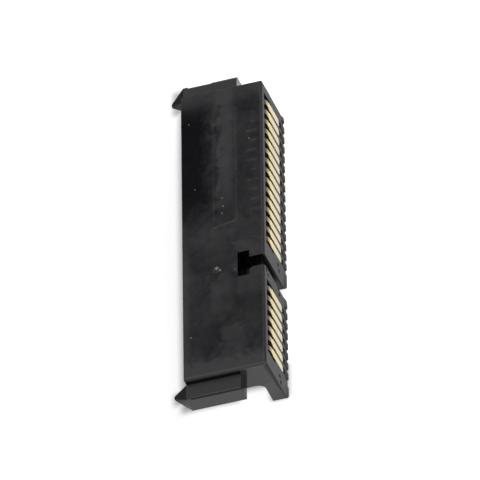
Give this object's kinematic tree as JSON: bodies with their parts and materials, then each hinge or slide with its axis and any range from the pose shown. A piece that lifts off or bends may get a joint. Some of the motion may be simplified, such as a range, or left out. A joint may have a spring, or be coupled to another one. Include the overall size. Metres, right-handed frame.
{
  "type": "hard drive connector",
  "caption": "L-shaped drive interface adapter: keyed receptacle with guide arms on one side, contact tongue with a T-shaped key slot on the other.",
  "frame": {"origin": "middle of the blade slots' mouth: on the mating face, halfway along the wide face, at half the slot's height", "axes": "+X along the contact rows towards the short row, +Y from the mating face towards the contact face, +Z out of the wide face"},
  "size_m": [0.0404, 0.0106, 0.0069],
  "materials": {
    "black_plastic": "satin moulded",
    "contact_gold": "thin gold plating"
  },
  "bodies": {
    "root": {"housing": "black_plastic", "power_contact_01": "contact_gold", "power_contact_02": "contact_gold", "power_contact_03": "contact_gold", "power_contact_04": "contact_gold", "power_contact_05": "contact_gold", "power_contact_06": "contact_gold", "power_contact_07": "contact_gold", "power_contact_08": "contact_gold", "power_contact_09": "contact_gold", "power_contact_10": "contact_gold", "power_contact_11": "contact_gold", "power_contact_12": "contact_gold", "power_contact_13": "contact_gold", "power_contact_14": "contact_gold", "power_contact_15": "contact_gold", "signal_contact_1": "contact_gold", "signal_contact_2": "contact_gold", "signal_contact_3": "contact_gold", "signal_contact_4": "contact_gold", "signal_contact_5": "contact_gold", "signal_contact_6": "contact_gold", "signal_contact_7": "contact_gold"}
  },
  "joints": []
}
